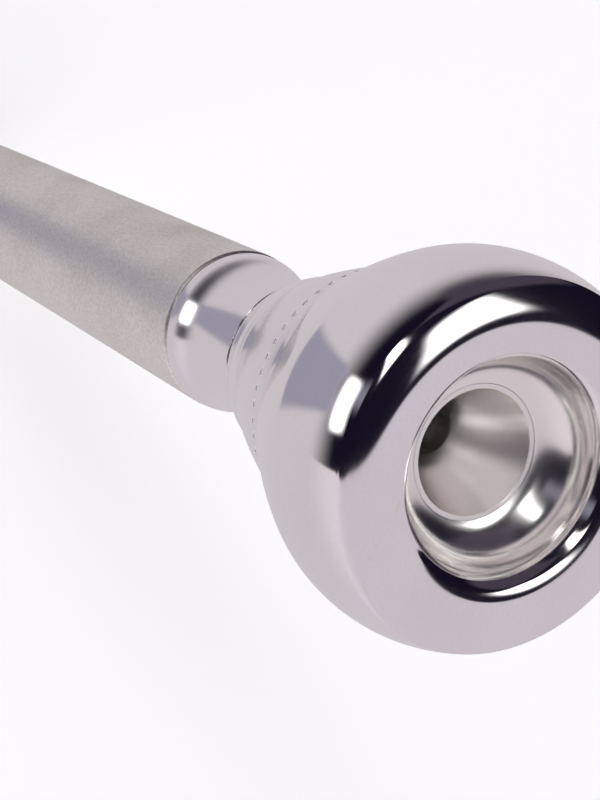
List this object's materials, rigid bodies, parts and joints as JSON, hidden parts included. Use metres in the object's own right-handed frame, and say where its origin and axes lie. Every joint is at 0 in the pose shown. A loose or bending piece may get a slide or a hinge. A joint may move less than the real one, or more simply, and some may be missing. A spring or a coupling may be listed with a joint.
{
  "type": "trumpet mouthpiece",
  "caption": "Modular brass-instrument mouthpiece: rounded rim over a bowl and cone, flared cup, beaded neck and tapered shank; rim and cup unscrew, the shank sleeve pulls off.",
  "frame": {"origin": "centre of the shank's small end, where the airway leaves the mouthpiece", "axes": "+Z along the airway's axis from the shank's small end to the rim; X and Y are free, since the outside is round"},
  "size_m": [0.027, 0.027, 0.087],
  "materials": {
    "silver_polished": "brass with bright polished silver plate",
    "silver_satin": "brass with soft satin silver plate",
    "seal_rubber": "matte black nitrile"
  },
  "bodies": {
    "shank_sleeve": {"shank_sleeve": "silver_satin"},
    "backbore": {"backbore": "silver_polished"},
    "stem_seal": {"stem_seal": "seal_rubber"},
    "cup": {"cup": "silver_polished"},
    "rim_seal": {"rim_seal": "seal_rubber"},
    "rim": {"rim": "silver_polished"}
  },
  "joints": [
    {"name": "sleeve_pull", "type": "slide", "parent": "shank_sleeve", "child": "backbore", "axis": [0, 0, 1], "range_m": [0, 0.0255]},
    {"name": "cup_turn", "type": "hinge", "parent": "backbore", "child": "stem_seal", "pos_m": [0, 0, 0.0601], "axis": [0, 0, 1], "range_deg": [0, 2700]},
    {"name": "cup_lift", "type": "slide", "parent": "stem_seal", "child": "cup", "axis": [0, 0, 1], "range_m": [0, 0.00563]},
    {"name": "rim_turn", "type": "hinge", "parent": "cup", "child": "rim_seal", "pos_m": [0, 0, 0.0734], "axis": [0, 0, 1], "range_deg": [0, 2160]},
    {"name": "rim_lift", "type": "slide", "parent": "rim_seal", "child": "rim", "axis": [0, 0, 1], "range_m": [0, 0.00601]}
  ],
  "couplings": [
    {"joint": "cup_lift", "follows": "cup_turn", "m_per_rad": 0.00011937},
    {"joint": "rim_lift", "follows": "rim_turn", "m_per_rad": 0.00015915}
  ]
}
